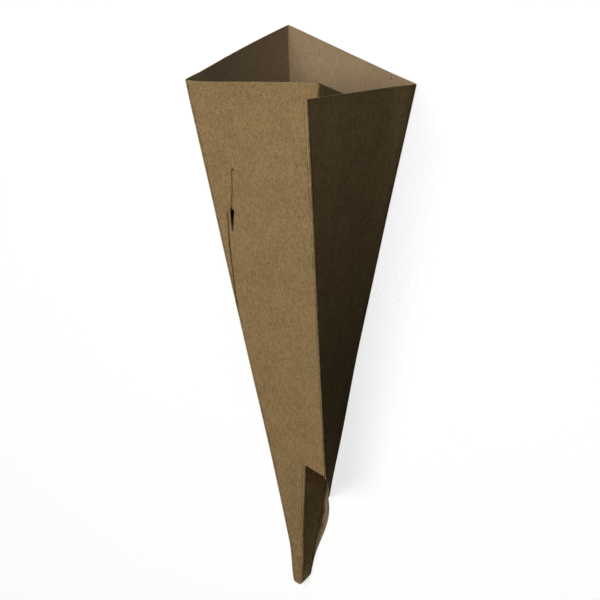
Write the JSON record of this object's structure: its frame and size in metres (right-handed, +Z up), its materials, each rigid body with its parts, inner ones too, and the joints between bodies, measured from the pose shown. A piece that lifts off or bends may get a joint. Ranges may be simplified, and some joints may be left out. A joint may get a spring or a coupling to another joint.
{
  "type": "paper fries cone",
  "caption": "Open four-sided cone folded from one sheet of kraft board, closed by overlapping flaps with a slit-and-tab lock, for serving fries.",
  "frame": {"origin": "middle of the outer face of the side the cone lies on", "axes": "+X from the tip towards the open mouth, +Y towards the left side, +Z up, away from the side the cone lies on"},
  "size_m": [0.2238, 0.0617, 0.0582],
  "materials": {
    "kraft_board": "uncoated brown kraft board, matt, with visible fibres"
  },
  "bodies": {
    "root": {"folded_cone": "kraft_board"}
  },
  "joints": []
}
